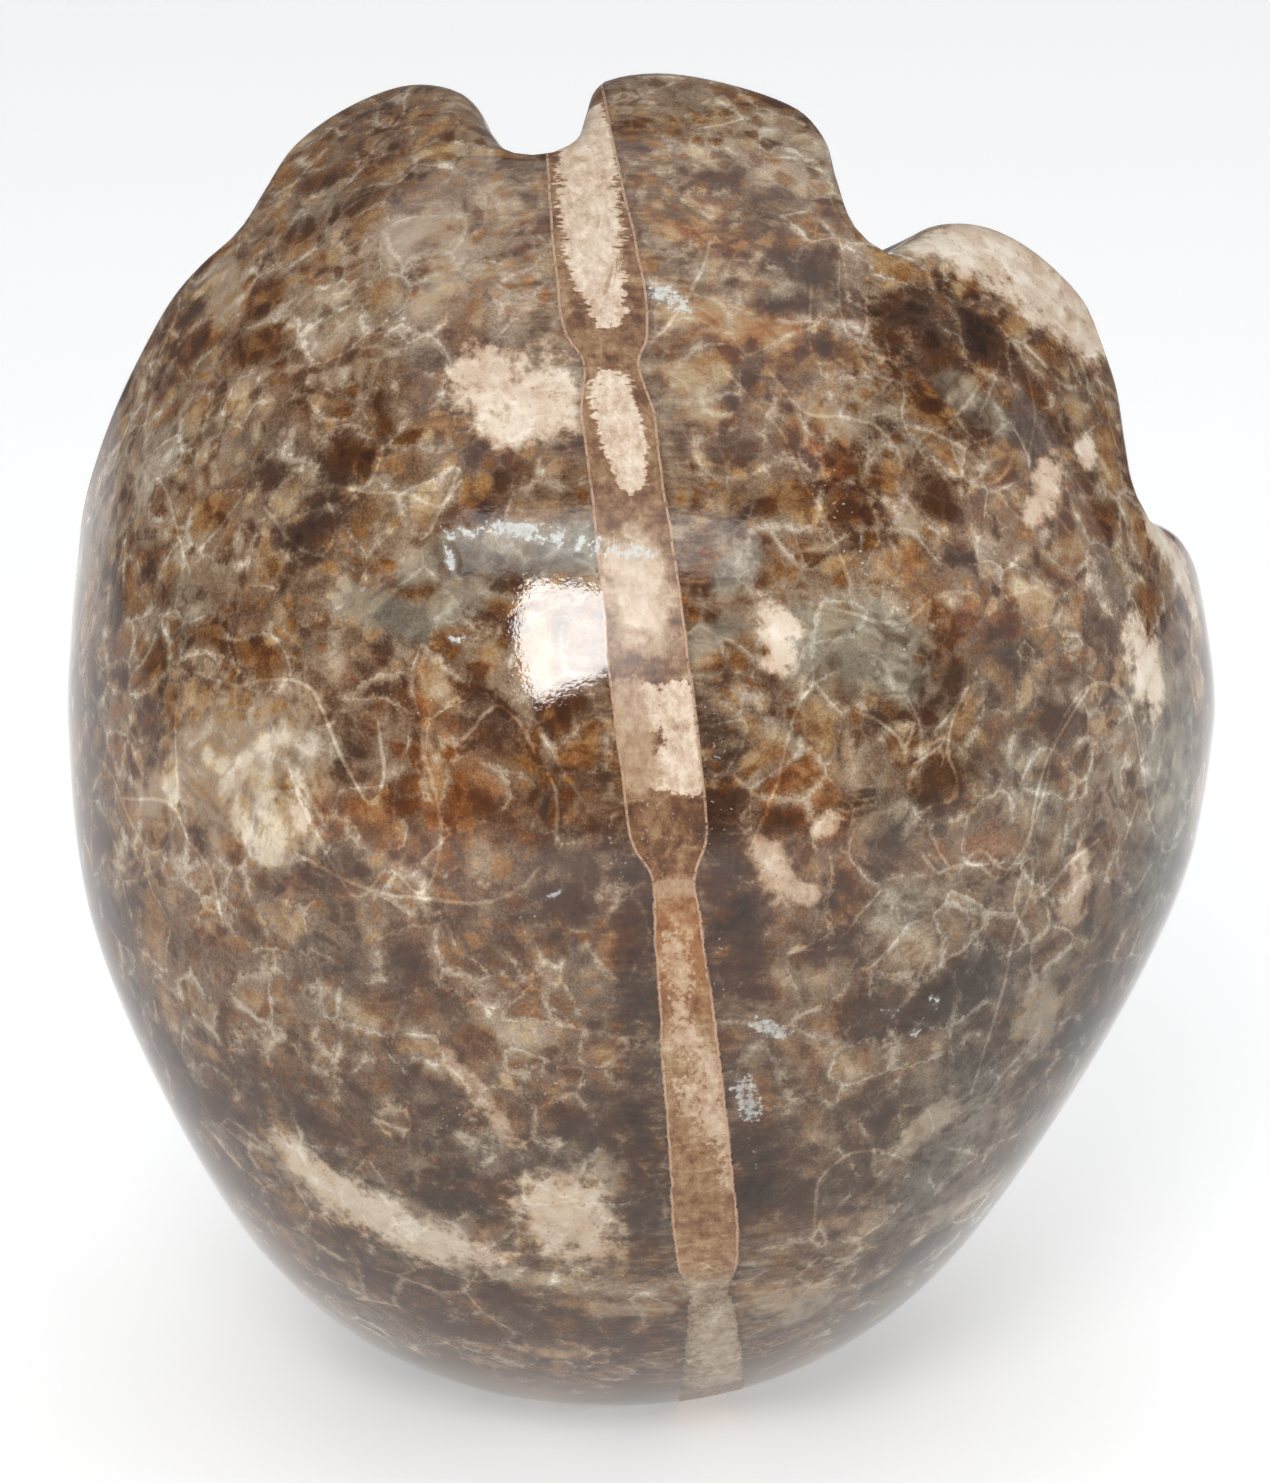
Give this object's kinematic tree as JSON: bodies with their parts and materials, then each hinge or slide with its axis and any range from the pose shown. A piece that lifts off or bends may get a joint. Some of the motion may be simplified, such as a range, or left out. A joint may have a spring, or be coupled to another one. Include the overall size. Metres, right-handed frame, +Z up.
{
  "type": "fossil ammonite",
  "caption": "Polished globose fossil ammonite standing on its rounded venter, with the siphuncle strip down the front and a folded last septum at the top.",
  "frame": {"origin": "middle of the small flat facet that the fossil stands on", "axes": "+Z up; the venter with the siphuncle faces -Y; +X is to the viewer's right, along the coil axis"},
  "size_m": [0.0552, 0.0592, 0.0653],
  "materials": {
    "polished_calcite": "high polish on brown mosaic calcite with cream patches and fine pale suture lines"
  },
  "bodies": {
    "root": {"ammonite": "polished_calcite"}
  },
  "joints": []
}
